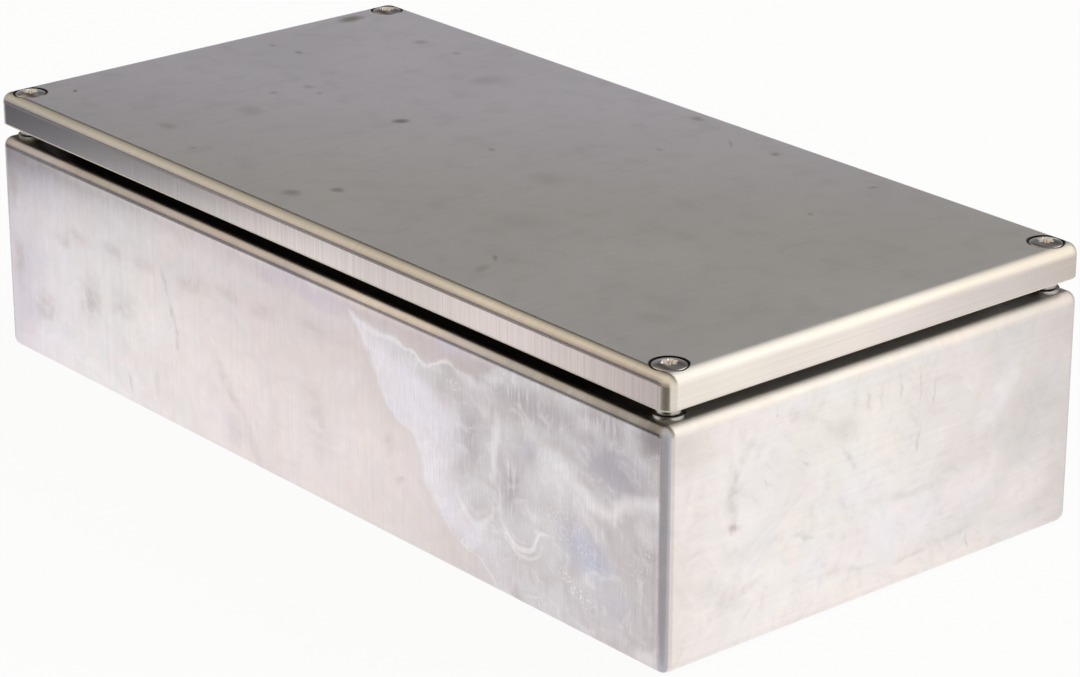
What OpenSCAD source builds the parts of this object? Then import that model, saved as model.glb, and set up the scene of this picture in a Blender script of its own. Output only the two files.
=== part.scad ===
// Stainless steel terminal box: folded and welded tub, screwed lid, foam seal,
// rivet nuts, captive screws, a terminal rail and earth studs.
// Origin at the bottom centre, X along the long side, Z up, millimetres.

/* [Box] */
// Outside length of the box along X
box_l = 300; // [240:1:420]
// Outside width of the box along Y
box_w = 150; // [130:1:260]
// Height of the tub up to its rim
tub_h = 67.7; // [50:0.1:120]
// Sheet thickness of tub and lid
sheet = 1.5; // [1.2:0.1:1.8]
// Outside radius of every fold
fold_r = 3; // [2.4:0.1:3.2]
// Outside radius of the ground vertical corners of the tub
corner_r = 3.1; // [3:0.1:4]
// Distance from the side to the upturned lip
rim_w = 15; // [14.5:0.5:17]
// Height of the lip above the rim
lip_h = 4.5; // [3:0.1:6]

/* [Lid] */
// Open gap between the tub rim and the lid skirt
lid_gap = 4.1; // [3:0.1:6]
// Height of the lid from skirt edge to top
lid_h = 9.7; // [9:0.1:14]
// Outside radius of the ground vertical corners of the lid
lid_corner_r = 3.6; // [3.2:0.1:4.5]
// Radius of the deburred skirt edge
deburr_r = 0.4; // [0.2:0.05:0.6]
// Width of the foam seal, which is centred over the lip
seal_w = 9; // [6:0.5:11]
// Radius of the outer corners of the seal
seal_r = 4; // [3:0.5:6]
// Free space left between seal and lip
seal_clear = 0.1; // [0.05:0.05:0.3]

/* [Lid screws] */
// Distance from each side to the screw axis
screw_in = 7; // [6.8:0.1:7.5]
// Outside diameter of the screw thread
thread_d = 4.95; // [4.5:0.05:5]
// Radial clearance of the thread in the rivet nut
thread_clear = 0.05; // [0.03:0.01:0.1]
// Diameter of the waisted shank
waist_d = 4; // [3.6:0.1:4.2]
// Length of thread in the rivet nut
grip = 5; // [4:0.1:5]
// Diameter of the raised countersunk head
head_d = 9.3; // [8.8:0.1:9.5]
// Height of the rounded top of the head
head_dome = 0.8; // [0.5:0.1:1.2]
// Depth of the head edge below the lid top
head_sink = 0.2; // [0.1:0.05:0.3]
// Clearance between head and countersink
head_clear = 0.08; // [0.03:0.01:0.15]
// Width of the six lobe recess across its points
recess_d = 4.5; // [4:0.1:5]
// Depth of the recess below the top of the dome
recess_deep = 2.2; // [1.4:0.1:2.4]
// Outside diameter of the retaining collar
collar_d = 7; // [6:0.1:7.2]
// Height of the retaining collar
collar_h = 4.3; // [3:0.1:4.4]
// Radial clearance of the collar on the waist
collar_clear = 0.03; // [0.02:0.01:0.08]
// Space below the resting collar
collar_lift = 0.2; // [0.1:0.05:0.3]
// Diameter of the clearance hole in the lid
lid_hole_d = 5.5; // [5.3:0.1:5.7]

/* [Rivet nuts] */
// Diameter of the flange on the rim
nut_flange_d = 8.6; // [7.6:0.1:8.8]
// Thickness of the flange
nut_flange_h = 1; // [0.6:0.1:1.2]
// Diameter of the barrel
nut_barrel_d = 6.9; // [6.6:0.1:7]
// Length of the barrel below the rim
nut_barrel_h = 10; // [8:0.5:12]
// Diameter of the collar pressed up under the rim
nut_bulge_d = 8.8; // [8:0.1:9]
// Height of that pressed collar
nut_bulge_h = 3; // [2:0.1:4]
// Radial clearance of the barrel in the rim hole
nut_clear = 0.05; // [0.02:0.01:0.1]

/* [Wall holes] */
// Distance from each short side to the wall fixing holes
wall_in_x = 30; // [26:1:40]
// Distance from each long side to the wall fixing holes
wall_in_y = 30; // [26:1:34]
// Diameter of the wall fixing holes
wall_d = 7; // [5:0.1:9]

/* [Terminal rail] */
// Distance from each short side to the end of the rail
rail_end = 50; // [46:1:60]
// Overall width of the rail
rail_w = 35; // [35:0.5:36]
// Width of the raised channel of the rail
rail_web = 27; // [25:0.5:28]
// Depth of the rail
rail_h = 7.5; // [7:0.5:15]
// Sheet thickness of the rail
rail_t = 1; // [1:0.1:1.5]
// Outside radius of the rail folds
rail_r = 1.8; // [1.7:0.1:2]
// Spacing of the rail slots
slot_pitch = 25; // [22:1:25]
// Length of a rail slot
slot_l = 15; // [10:0.5:18]
// Width of a rail slot
slot_w = 6.2; // [5.5:0.1:6.5]
// Height of the posts that carry the rail
post_h = 8; // [6:0.5:12]
// Diameter of the posts
post_d = 10; // [9:0.5:12]
// Diameter of the rail screw thread
rail_screw_d = 4.95; // [4.5:0.05:5]
// Length of the rail screws below the washer
rail_screw_l = 8; // [7:0.5:8]
// Diameter of the rail screw heads
rail_head_d = 9.5; // [8.5:0.1:10]
// Height of the rail screw heads
rail_head_h = 3; // [2.5:0.1:3.7]
// Diameter of the rail washers
rail_washer_d = 12; // [11:0.5:15]
// Thickness of the rail washers
rail_washer_t = 1; // [0.8:0.1:1.2]

/* [Earth studs] */
// Diameter of the earth studs
stud_d = 5.9; // [5.5:0.1:6]
// Length of the earth stud on the floor
stud_l = 18; // [15:0.5:25]
// Length of the earth stud under the lid
lid_stud_l = 15; // [14:0.5:18]
// Diameter of the welded foot of a stud
foot_d = 7.5; // [7:0.1:9]
// Height of the welded foot of a stud
foot_h = 0.8; // [0.5:0.1:1.5]
// Distance from the short side to the earth studs
stud_in = 30; // [28:1:34]
// Width across the flats of an earth nut
nut_af = 10; // [9.5:0.1:10.5]
// Height of an earth nut
nut_h = 5; // [4:0.1:5.5]
// Diameter of the flat earth washers
washer_d = 12; // [11:0.5:14]
// Thickness of the flat earth washers
washer_t = 1.6; // [1:0.1:2]
// Diameter of the split lock washers
lock_d = 11.6; // [10:0.1:11.8]
// Thickness of the split lock washers
lock_t = 1.6; // [1.2:0.1:1.8]
// Width of the cut in a lock washer
lock_cut = 1.2; // [0.6:0.1:2]
// Clearance around the stud in nuts and washers
stud_clear = 0.05; // [0.03:0.01:0.1]
// Extra radial room in the washer holes
washer_clear = 0.3; // [0.2:0.05:0.5]

/* [Hidden] */
$fn = 96;
lid_z0 = tub_h + lid_gap;
lid_z1 = lid_z0 + lid_h;
lid_under = lid_z1 - sheet;
lip_top = tub_h + lip_h;
seal_in = rim_w + sheet/2 - seal_w/2;
seal_z = lip_top + seal_clear;
screw_x = box_l/2 - screw_in;
screw_y = box_w/2 - screw_in;
head_z = lid_z1 - head_sink;
head_edge = 0.1;
cone_z = head_z - head_edge;
cone_h = head_d/2 - waist_d/2;
csk_r = head_d/2 + head_clear + lid_z1 - cone_z;
csk_h = csk_r - lid_hole_d/2;
dimple_z = lid_z1 - csk_h - 0.6;
thread_z1 = tub_h + nut_flange_h;
thread_z0 = thread_z1 - grip;
collar_z = thread_z1 + collar_lift;
dome_r = (head_d*head_d/4 + head_dome*head_dome)/(2*head_dome);
fold_in = fold_r - sheet;
post_z = sheet + post_h;
rail_l = box_l - 2*rail_end;
slots = floor((rail_l/2 - slot_l/2 - 4)/slot_pitch);
post_x = slots*slot_pitch;
stud_x = stud_in - box_l/2;
wall_x = box_l - 2*wall_in_x;
wall_y = box_w - 2*wall_in_y;

// Quarter of a bent sheet, centre at the origin, toward -x and up when up is 1
module fold(up) {
    intersection() {
        difference() {
            circle(r = fold_r);
            circle(r = fold_in);
        }
        translate([-fold_r, up > 0 ? 0 : -fold_r])
            square(fold_r);
    }
}

// Section of the tub side, x is the distance inward and y is the height
module tub_section() {
    translate([fold_r, 0])
        square([rim_w + 10, sheet]);
    translate([fold_r, fold_r])
        fold(-1);
    translate([0, fold_r])
        square([sheet, tub_h - 2*fold_r]);
    translate([fold_r, tub_h - fold_r])
        fold(1);
    translate([fold_r, tub_h - sheet])
        square([rim_w - fold_in - fold_r, sheet]);
    translate([rim_w - fold_in, tub_h + fold_in])
        mirror([1, 0])
            fold(-1);
    translate([rim_w, tub_h + fold_in])
        square([sheet, lip_h - fold_in]);
}

// Section of the lid side with a rounded skirt edge
module lid_section() {
    translate([fold_r, lid_under])
        square([rim_w + 10, sheet]);
    translate([fold_r, lid_z1 - fold_r])
        fold(1);
    translate([0, lid_z0 + deburr_r])
        square([sheet, lid_h - fold_r - deburr_r]);
    translate([deburr_r, lid_z0])
        square([sheet - deburr_r, deburr_r]);
    intersection() {
        translate([deburr_r, lid_z0 + deburr_r])
            circle(r = deburr_r);
        translate([0, lid_z0])
            square(deburr_r);
    }
}

// One side of length l and distance d from the centre, cut to 45 degree mitres
module mitred_side(l, d) {
    intersection() {
        translate([-l/2, -d, 0])
            rotate([90, 0, 90])
                linear_extrude(l)
                    children();
        translate([0, 0, -1])
            linear_extrude(lid_z1 + 2)
                polygon([[-l/2, -d], [l/2, -d], [l/2 - d, 0], [d - l/2, 0]]);
    }
}

// One short side, cut to the same mitres
module mitred_end() {
    intersection() {
        rotate([0, 0, 90])
            translate([-box_w/2, -box_l/2, 0])
                rotate([90, 0, 90])
                    linear_extrude(box_w)
                        children();
        translate([0, 0, -1])
            linear_extrude(lid_z1 + 2)
                polygon([[box_l/2, -box_w/2], [box_l/2, box_w/2], [box_l/2 - box_w/2, 0]]);
    }
}

module four_sides() {
    mitred_side(box_l, box_w/2)
        children();
    mirror([0, 1, 0])
        mitred_side(box_l, box_w/2)
            children();
    mitred_end()
        children();
    mirror([1, 0, 0])
        mitred_end()
            children();
}

// Half profile of the end of a corner column, rounded by e, going up from the origin
module column_end(r, e) {
    square([r - e, e]);
    intersection() {
        translate([r - e, e])
            circle(r = e);
        translate([r - e, 0])
            square(e);
    }
}

// Column of a ground vertical corner from z0 to z1, rounded by low and high at its ends
module corner_column(r, z0, z1, low, high) {
    rotate_extrude() {
        translate([0, z0])
            column_end(r, low);
        translate([0, z0 + low])
            square([r, z1 - z0 - low - high]);
        translate([0, z1])
            mirror([0, 1])
                column_end(r, high);
    }
}

// Envelope that leaves the sides alone and grinds the four corners round
module ground_corners(r, z0, z1, low, high) {
    a = box_l/2 - r;
    b = box_w/2 - r;
    translate([-a, -box_w/2, -1])
        cube([2*a, box_w, lid_z1 + 2]);
    translate([-box_l/2, -b, -1])
        cube([box_l, 2*b, lid_z1 + 2]);
    for (x = [-a, a])
        for (y = [-b, b])
            translate([x, y, 0])
                corner_column(r, z0, z1, low, high);
}

module at_screws() {
    for (x = [-screw_x, screw_x])
        for (y = [-screw_y, screw_y])
            translate([x, y, 0])
                children();
}

module plate(z, inset) {
    translate([inset - box_l/2, inset - box_w/2, z])
        cube([box_l - 2*inset, box_w - 2*inset, sheet]);
}

module box_body() {
    color("Silver")
        difference() {
            intersection() {
                union() {
                    four_sides()
                        tub_section();
                    plate(0, rim_w + 5);
                }
                ground_corners(corner_r, 0, tub_h, fold_r, fold_r);
            }
            at_screws()
                translate([0, 0, tub_h - 3*sheet])
                    cylinder(d = nut_barrel_d + 2*nut_clear, h = 6*sheet);
            for (x = [-wall_x/2, wall_x/2])
                for (y = [-wall_y/2, wall_y/2])
                    translate([x, y, -sheet])
                        cylinder(d = wall_d, h = 3*sheet);
        }
}

module rivet_nuts() {
    color("LightGray")
        at_screws()
            difference() {
                union() {
                    translate([0, 0, tub_h])
                        cylinder(d = nut_flange_d, h = nut_flange_h);
                    translate([0, 0, tub_h - nut_barrel_h])
                        cylinder(d = nut_barrel_d, h = nut_barrel_h + nut_flange_h/2);
                    translate([0, 0, tub_h - sheet - nut_bulge_h])
                        cylinder(d = nut_bulge_d, h = nut_bulge_h);
                }
                translate([0, 0, tub_h - 2*nut_barrel_h])
                    cylinder(d = thread_d + 2*thread_clear, h = 3*nut_barrel_h);
            }
}

module rail_posts() {
    color("Silver")
        for (x = [-post_x, post_x])
            translate([x, 0, sheet])
                difference() {
                    cylinder(d = post_d, h = post_h);
                    translate([0, 0, 0.5])
                        cylinder(d = rail_screw_d + 2*thread_clear, h = post_h);
                }
}

// Half of the top hat section, mirrored about the middle
module rail_half() {
    ri = rail_r - rail_t;
    square([rail_web/2 - rail_r, rail_t]);
    translate([rail_web/2 - rail_r, rail_r])
        intersection() {
            difference() {
                circle(r = rail_r);
                circle(r = ri);
            }
            translate([0, -rail_r])
                square(rail_r);
        }
    translate([rail_web/2 - rail_t, rail_r])
        square([rail_t, rail_h - rail_r - rail_r]);
    translate([rail_web/2 + ri, rail_h - rail_r])
        intersection() {
            difference() {
                circle(r = rail_r);
                circle(r = ri);
            }
            translate([-rail_r, 0])
                square(rail_r);
        }
    translate([rail_web/2 + ri, rail_h - rail_t])
        square([rail_w/2 - rail_web/2 - ri, rail_t]);
}

module rail_slots() {
    for (i = [-slots:slots])
        translate([i*slot_pitch, 0, -rail_t]) {
            translate([slot_w/2 - slot_l/2, -slot_w/2, 0])
                cube([slot_l - slot_w, slot_w, 3*rail_t]);
            for (s = [-1, 1])
                translate([s*(slot_l - slot_w)/2, 0, 0])
                    cylinder(d = slot_w, h = 3*rail_t);
        }
}

module terminal_rail() {
    color("Gainsboro")
        translate([0, 0, post_z])
            difference() {
                translate([-rail_l/2, 0, 0])
                    rotate([90, 0, 90])
                        linear_extrude(rail_l)
                            union() {
                                rail_half();
                                mirror([1, 0])
                                    rail_half();
                            }
                rail_slots();
            }
}

module rail_washers() {
    color("LightGray")
        for (x = [-post_x, post_x])
            translate([x, 0, post_z + rail_t])
                difference() {
                    cylinder(d = rail_washer_d, h = rail_washer_t);
                    translate([0, 0, -1])
                        cylinder(d = rail_screw_d + 2*washer_clear, h = rail_washer_t + 2);
                }
}

module rail_screws() {
    z = post_z + rail_t + rail_washer_t;
    color("Silver")
        for (x = [-post_x, post_x])
            translate([x, 0, z])
                difference() {
                    union() {
                        cylinder(d = rail_head_d, h = rail_head_h*0.6);
                        translate([0, 0, rail_head_h*0.6])
                            cylinder(d1 = rail_head_d, d2 = rail_head_d*0.7, h = rail_head_h*0.4);
                        translate([0, 0, 0.6 - rail_screw_l])
                            cylinder(d = rail_screw_d, h = rail_screw_l);
                        translate([0, 0, -rail_screw_l])
                            cylinder(d1 = rail_screw_d - 1.2, d2 = rail_screw_d, h = 0.6);
                    }
                    translate([0, 0, rail_head_h - 1.8])
                        cross_recess();
                }
}

// Plain cross recess of a pan head screw
module cross_recess() {
    for (a = [0, 90])
        rotate([0, 0, a])
            translate([-2.2, -0.5, 0])
                cube([4.4, 1, 4]);
}

// Stud on a welded foot, standing on z = 0
module stud(l) {
    cylinder(d = foot_d, h = foot_h);
    translate([0, 0, foot_h/2])
        cylinder(d = stud_d, h = l - foot_h/2 - 0.8);
    translate([0, 0, l - 0.8])
        cylinder(d1 = stud_d, d2 = stud_d - 1.6, h = 0.8);
}

module flat_washer() {
    difference() {
        cylinder(d = washer_d, h = washer_t);
        translate([0, 0, -1])
            cylinder(d = stud_d + 2*washer_clear, h = washer_t + 2);
    }
}

module lock_washer() {
    difference() {
        cylinder(d = lock_d, h = lock_t);
        translate([0, 0, -1])
            cylinder(d = stud_d + 2*washer_clear, h = lock_t + 2);
        rotate([0, 0, 30])
            translate([0, -lock_cut/2, -1])
                cube([lock_d, lock_cut, lock_t + 2]);
    }
}

// Hexagon nut with both ends turned down to a 30 degree chamfer
module hex_nut() {
    corner = nut_af/cos(30);
    drop = (corner - nut_af)/2*tan(30) + 0.1;
    difference() {
        intersection() {
            cylinder(d = corner, h = nut_h, $fn = 6);
            union() {
                cylinder(d1 = nut_af*0.97, d2 = nut_af*0.97 + 2*drop/tan(30), h = drop);
                translate([0, 0, drop])
                    cylinder(d = nut_af*0.97 + 2*drop/tan(30), h = nut_h - 2*drop);
                translate([0, 0, nut_h - drop])
                    cylinder(d1 = nut_af*0.97 + 2*drop/tan(30), d2 = nut_af*0.97, h = drop);
            }
        }
        translate([0, 0, -1])
            cylinder(d = stud_d + 2*stud_clear, h = nut_h + 2);
    }
}

module on_floor(up) {
    translate([stud_x, 0, sheet + up])
        children();
}

module under_lid(down) {
    translate([stud_x, 0, lid_under - down])
        mirror([0, 0, 1])
            children();
}

module earth_stud() {
    color("Silver")
        on_floor(0)
            stud(stud_l);
}

module earth_washer() {
    color("LightGray")
        on_floor(foot_h)
            flat_washer();
}

module earth_lock_washer() {
    color("LightGray")
        on_floor(foot_h + washer_t)
            lock_washer();
}

module earth_nut() {
    color("LightGray")
        on_floor(foot_h + washer_t + lock_t)
            hex_nut();
}

module lid_earth_stud() {
    color("Silver")
        under_lid(0)
            stud(lid_stud_l);
}

module lid_earth_washer() {
    color("LightGray")
        under_lid(foot_h)
            flat_washer();
}

module lid_earth_lock_washer() {
    color("LightGray")
        under_lid(foot_h + washer_t)
            lock_washer();
}

module lid_earth_nut() {
    color("LightGray")
        under_lid(foot_h + washer_t + lock_t)
            hex_nut();
}

// Lid pan with four pressed countersinks
module lid_pan() {
    color("Silver")
        difference() {
            union() {
                intersection() {
                    union() {
                        four_sides()
                            lid_section();
                        plate(lid_under, rim_w + 5);
                    }
                    ground_corners(lid_corner_r, lid_z0, lid_z1, deburr_r, fold_r);
                }
                at_screws()
                    translate([0, 0, dimple_z])
                        cylinder(r1 = 3.9, r2 = 3.9 + lid_under - dimple_z + 0.2,
                            h = lid_under - dimple_z + 0.2);
            }
            at_screws() {
                translate([0, 0, dimple_z - 1])
                    cylinder(d = lid_hole_d, h = lid_h);
                translate([0, 0, lid_z1 - csk_h])
                    cylinder(r1 = lid_hole_d/2, r2 = csk_r + 1, h = csk_h + 1);
            }
        }
}

// Rounded rectangle ring of foam between the lid and the lip
module foam_seal() {
    color("DimGray")
        translate([0, 0, seal_z])
            linear_extrude(lid_under - seal_z)
                difference() {
                    round_rect(box_l - 2*seal_in, box_w - 2*seal_in, seal_r);
                    square([box_l - 2*seal_in - 2*seal_w, box_w - 2*seal_in - 2*seal_w],
                        center = true);
                }
}

module round_rect(l, w, r) {
    square([l - 2*r, w], center = true);
    square([l, w - 2*r], center = true);
    for (x = [r - l/2, l/2 - r])
        for (y = [r - w/2, w/2 - r])
            translate([x, y])
                circle(r = r);
}

// Collar that keeps a lid screw captive
module collar(sx, sy) {
    color("LightGray")
        translate([sx*screw_x, sy*screw_y, collar_z])
            difference() {
                cylinder(d = collar_d, h = collar_h);
                translate([0, 0, -1])
                    cylinder(d = waist_d + 2*collar_clear, h = collar_h + 2);
            }
}

module six_lobes() {
    circle(d = recess_d*0.76);
    for (i = [0:5])
        rotate([0, 0, 60*i])
            translate([recess_d*0.4, 0])
                circle(d = recess_d*0.2);
}

// Raised countersunk screw with a six lobe recess and a waisted shank
module lid_screw(sx, sy) {
    color("Silver")
        translate([sx*screw_x, sy*screw_y, 0])
            difference() {
                union() {
                    intersection() {
                        translate([0, 0, head_z + head_dome - dome_r])
                            sphere(r = dome_r);
                        translate([0, 0, cone_z])
                            cylinder(d = head_d, h = head_edge + head_dome + 1);
                    }
                    translate([0, 0, cone_z - cone_h])
                        cylinder(d1 = waist_d, d2 = head_d, h = cone_h);
                    translate([0, 0, thread_z1 - 0.5])
                        cylinder(d = waist_d, h = cone_z - cone_h - thread_z1 + 1);
                    translate([0, 0, thread_z0 + 0.6])
                        cylinder(d = thread_d, h = grip - 0.6);
                    translate([0, 0, thread_z0])
                        cylinder(d1 = thread_d - 1.2, d2 = thread_d, h = 0.6);
                }
                translate([0, 0, head_z + head_dome - recess_deep])
                    rotate([0, 0, 20])
                        linear_extrude(recess_deep + 1)
                            six_lobes();
            }
}

module collar_front_right() {
    collar(1, -1);
}

module collar_front_left() {
    collar(-1, -1);
}

module collar_back_right() {
    collar(1, 1);
}

module collar_back_left() {
    collar(-1, 1);
}

module screw_front_right() {
    lid_screw(1, -1);
}

module screw_front_left() {
    lid_screw(-1, -1);
}

module screw_back_right() {
    lid_screw(1, 1);
}

module screw_back_left() {
    lid_screw(-1, 1);
}

box_body();
rivet_nuts();
rail_posts();
terminal_rail();
rail_washers();
rail_screws();
earth_stud();
earth_washer();
earth_lock_washer();
earth_nut();
lid_pan();
foam_seal();
lid_earth_stud();
lid_earth_washer();
lid_earth_lock_washer();
lid_earth_nut();
collar_front_right();
collar_front_left();
collar_back_right();
collar_back_left();
screw_front_right();
screw_front_left();
screw_back_right();
screw_back_left();
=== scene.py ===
import math
from functools import partial
from types import SimpleNamespace
import bpy
import numpy as np
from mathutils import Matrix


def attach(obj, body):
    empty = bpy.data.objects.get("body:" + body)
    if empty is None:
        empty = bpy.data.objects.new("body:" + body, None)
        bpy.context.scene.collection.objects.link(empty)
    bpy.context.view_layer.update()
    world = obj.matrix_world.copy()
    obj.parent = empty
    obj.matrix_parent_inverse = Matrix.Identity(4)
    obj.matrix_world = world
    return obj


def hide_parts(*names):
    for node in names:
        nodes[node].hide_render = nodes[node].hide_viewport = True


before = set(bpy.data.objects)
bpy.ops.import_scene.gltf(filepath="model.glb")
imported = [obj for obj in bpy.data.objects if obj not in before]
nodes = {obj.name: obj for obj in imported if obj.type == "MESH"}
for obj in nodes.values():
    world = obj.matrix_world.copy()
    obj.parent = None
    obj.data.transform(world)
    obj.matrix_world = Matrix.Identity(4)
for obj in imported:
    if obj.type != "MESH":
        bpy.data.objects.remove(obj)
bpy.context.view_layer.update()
print("frame loaded,", len(nodes), "nodes")


# sRGB hex to linear: each channel divided by 255, then the sRGB curve undone
def toLinear(hexColour):
    channels = [int(hexColour[i:i + 2], 16) / 255 for i in (1, 3, 5)]
    return (*(c / 12.92 if c <= 0.04045 else ((c + 0.055) / 1.055) ** 2.4 for c in channels), 1.0)


# adds one node and sets its properties; inputs fill its open sockets in order, and named ones by name:
# a node is linked by its first open output, a hex string becomes a colour, anything else is a plain value
def addNode(tree, kind, *inputs, named=None, **settings):
    node = tree.nodes.new("ShaderNode" + kind)
    for key, value in settings.items():
        setattr(node, key, value)
    filled = list(zip([socket for socket in node.inputs if socket.enabled], inputs))
    filled += [(node.inputs[key], value) for key, value in (named or {}).items()]
    for socket, value in filled:
        if isinstance(value, bpy.types.Node):
            value = next(output for output in value.outputs if output.enabled)
        if isinstance(value, bpy.types.NodeSocket):
            tree.links.new(value, socket)
        else:
            socket.default_value = toLinear(value) if isinstance(value, str) else value
    return node


# a material with no nodes yet, and the adder of nodes for it
def emptyMaterial(name):
    material = bpy.data.materials.new(name)
    material.use_nodes = True
    material.node_tree.nodes.clear()
    return material, partial(addNode, material.node_tree)


# tone along a value: a ramp whose stops are given in the value's own unit, each a hex tone or a share of white
def toneAlong(add, value, tones):
    low, high = tones[0][0], tones[-1][0]
    ramp = add("ValToRGB", add("MapRange", value, low, high, clamp=False))
    stops = ramp.color_ramp.elements
    while len(stops) < len(tones):
        stops.new(0.5)
    for stop, (place, tone) in zip(stops, tones):
        stop.position = (place - low) / (high - low)
        stop.color = toLinear(tone) if isinstance(tone, str) else (tone, tone, tone, 1)
    return ramp


soft = {"interpolation_type": "SMOOTHSTEP", "clamp": False}  # settings of a range with soft ends
paint = {"data_type": "RGBA"}  # settings of a mix of colours
times = {"operation": "MULTIPLY"}  # settings of a product

# camera solved from the straight edges of the box
camera = {
    "place": (0.76383, -0.63663, 0.41889),  # metres
    "turn": (68.531, -0.075, 49.706),  # degrees about X, Y and Z
    "lens": 122.99, "sensor": 36.0,  # mm
    "clip": (0.05, 40.0),  # metres
}
cameraData = bpy.data.cameras.new("camera")
cameraData.lens = camera["lens"]
cameraData.sensor_width = camera["sensor"]
cameraData.sensor_fit = "HORIZONTAL"
cameraData.clip_start, cameraData.clip_end = camera["clip"]
cameraObject = bpy.data.objects.new("camera", cameraData)
cameraObject.location = camera["place"]
cameraObject.rotation_euler = [math.radians(a) for a in camera["turn"]]
bpy.context.collection.objects.link(cameraObject)
bpy.context.scene.camera = cameraObject
bpy.context.scene.view_settings.view_transform = "Standard"
print("camera set")

# a pale room: each wall has a tone by compass angle, low and high, with one bright soft patch at the right
studio = {
    "strength": 1.3,
    "lowWall": [(-180, "#747270"), (-135, "#6c6b6c"), (-95, "#5e5d60"), (-40, "#5a595b"), (-10, "#d8d6d2"),
                (25, "#fcfaf7"), (70, "#e8e6e4"), (95, "#929094"), (145, "#8a888c"), (165, "#747270")],
    "highWall": [(-180, "#c4bba9"), (-140, "#bfb7a6"), (-115, "#8a8783"), (-50, "#6e6c6b"), (-10, "#d8d5d0"),
                 (25, "#fffdfa"), (60, "#c8c6c4"), (85, "#565556"), (115, "#5c5b5c"), (132, "#656465"),
                 (141, "#7e7d80"), (165, "#7e7d80")],
    "highFrom": (0.05, 0.17),  # height of the unit direction over which low walls turn into high ones
    # tone of the high walls by height of the unit direction
    "heightTone": [(0.0, "#ffffff"), (0.285, "#ffffff"), (0.305, "#f2f2f2"), (0.325, "#e2e2e2"),
                   (0.345, "#d2d2d2"), (0.37, "#cacaca"), (0.5, "#d2d2d2"), (0.66, "#ffffff")],
    # ceiling over the front by slope, (y - 0.602) / (z + 0.366): a bend along X mirrors one slope on each line
    "frontCeiling": [(-1.6, "#c0b8a8"), (-1.0, "#cac2b2"), (-0.685, "#c4bcac"), (-0.56, "#b7af9f"),
                     (-0.445, "#a59e90"), (-0.33, "#8a8479"), (-0.25, "#4c4842"), (-0.2, "#403c38"),
                     (-0.17, "#403c38")],
    "frontFrom": (-0.12, -0.17),
    "slopeFrom": (0.602, 0.366),
    "lean": (-0.76, 3.8),  # left of this x of the direction the strip climbs, by so much for each unit
    "patch": "#fffdfa",
    "patchAim": (0.622, 0.602, 0.502),  # unit direction of the middle of the bright patch
    "patchEdge": (0.5, 0.93),  # cosine of the angle from there, at the rim and where it is full
}
world = bpy.data.worlds.new("studio")
bpy.context.scene.world = world
world.use_nodes = True
world.node_tree.nodes.clear()
add = partial(addNode, world.node_tree)
direction = add("TexCoord").outputs["Generated"]
parts = add("SeparateXYZ", direction).outputs
height = parts["Z"]
rise = add("Math", height, studio["slopeFrom"][1], operation="ADD")
slope = add("Math", parts["Y"], studio["slopeFrom"][0], operation="SUBTRACT")
slope = add("Math", slope, rise, operation="DIVIDE")
leftwards = add("Math", studio["lean"][0], parts["X"], operation="SUBTRACT")
leftwards = add("Math", leftwards, 0.0, operation="MAXIMUM")
slope = add("Math", leftwards, studio["lean"][1], slope, operation="MULTIPLY_ADD")
compass = add("TexGradient", direction, gradient_type="RADIAL").outputs["Fac"]
compass = add("Math", compass, 360.0, -180.0, operation="MULTIPLY_ADD")  # degrees
lowWall, highWall = [toneAlong(add, compass, studio[key]) for key in ("lowWall", "highWall")]
ceiling = toneAlong(add, slope, studio["frontCeiling"])
nearness = add("VectorMath", direction, studio["patchAim"], operation="DOT_PRODUCT")
risen, fronted, patched = [
    add("MapRange", value, *studio[key], **soft)
    for value, key in ((height, "highFrom"), (slope, "frontFrom"), (nearness, "patchEdge"))]
heightTone = toneAlong(add, height, studio["heightTone"])
dome = add("VectorMath", highWall, heightTone, **times)
for share, tone in ((patched, studio["patch"]), (fronted, ceiling)):
    dome = add("Mix", share, dome, tone, **paint)
dome = add("Mix", risen, lowWall, dome, **paint)
add("OutputWorld", add("Background", dome, studio["strength"]))

# one large soft lamp high at the right and behind
lamp = {
    "place": (0.45, 0.62, 1.35), "aim": (0.0, 0.0, 0.04), "size": (2.2, 1.6),  # metres
    "watts": 10.0, "colour": "#fffdfb",
}
lampData = bpy.data.lights.new("soft lamp", "AREA")
lampData.shape = "RECTANGLE"
lampData.size, lampData.size_y = lamp["size"]
lampData.energy = lamp["watts"]
lampData.color = toLinear(lamp["colour"])[:3]
lampObject = bpy.data.objects.new("soft lamp", lampData)
lampObject.location = lamp["place"]
away = np.array(lamp["place"]) - np.array(lamp["aim"])
lampTilt, lampTurn = math.atan2(math.hypot(away[0], away[1]), away[2]), math.atan2(away[0], -away[1])
lampObject.rotation_euler = (lampTilt, 0.0, lampTurn)
lampObject.visible_glossy = False  # the metal mirrors the walls and the paper only
bpy.context.collection.objects.link(lampObject)


# flat rectangle on the floor: two directions u and v scaled by half sizes about a middle point
def flatSheet(name, middle, half, turn, height, material):
    u = np.array([math.cos(turn), math.sin(turn), 0.0]) * half
    v = np.array([-math.sin(turn), math.cos(turn), 0.0]) * half
    corners = np.array([middle[0], middle[1], height]) + np.array([-u - v, u - v, u + v, v - u])
    mesh = bpy.data.meshes.new(name)
    mesh.from_pydata(corners.tolist(), [], [(0, 1, 2, 3)])
    mesh.materials.append(material)
    sheet = bpy.data.objects.new(name, mesh)
    bpy.context.collection.objects.link(sheet)
    return sheet


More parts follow.
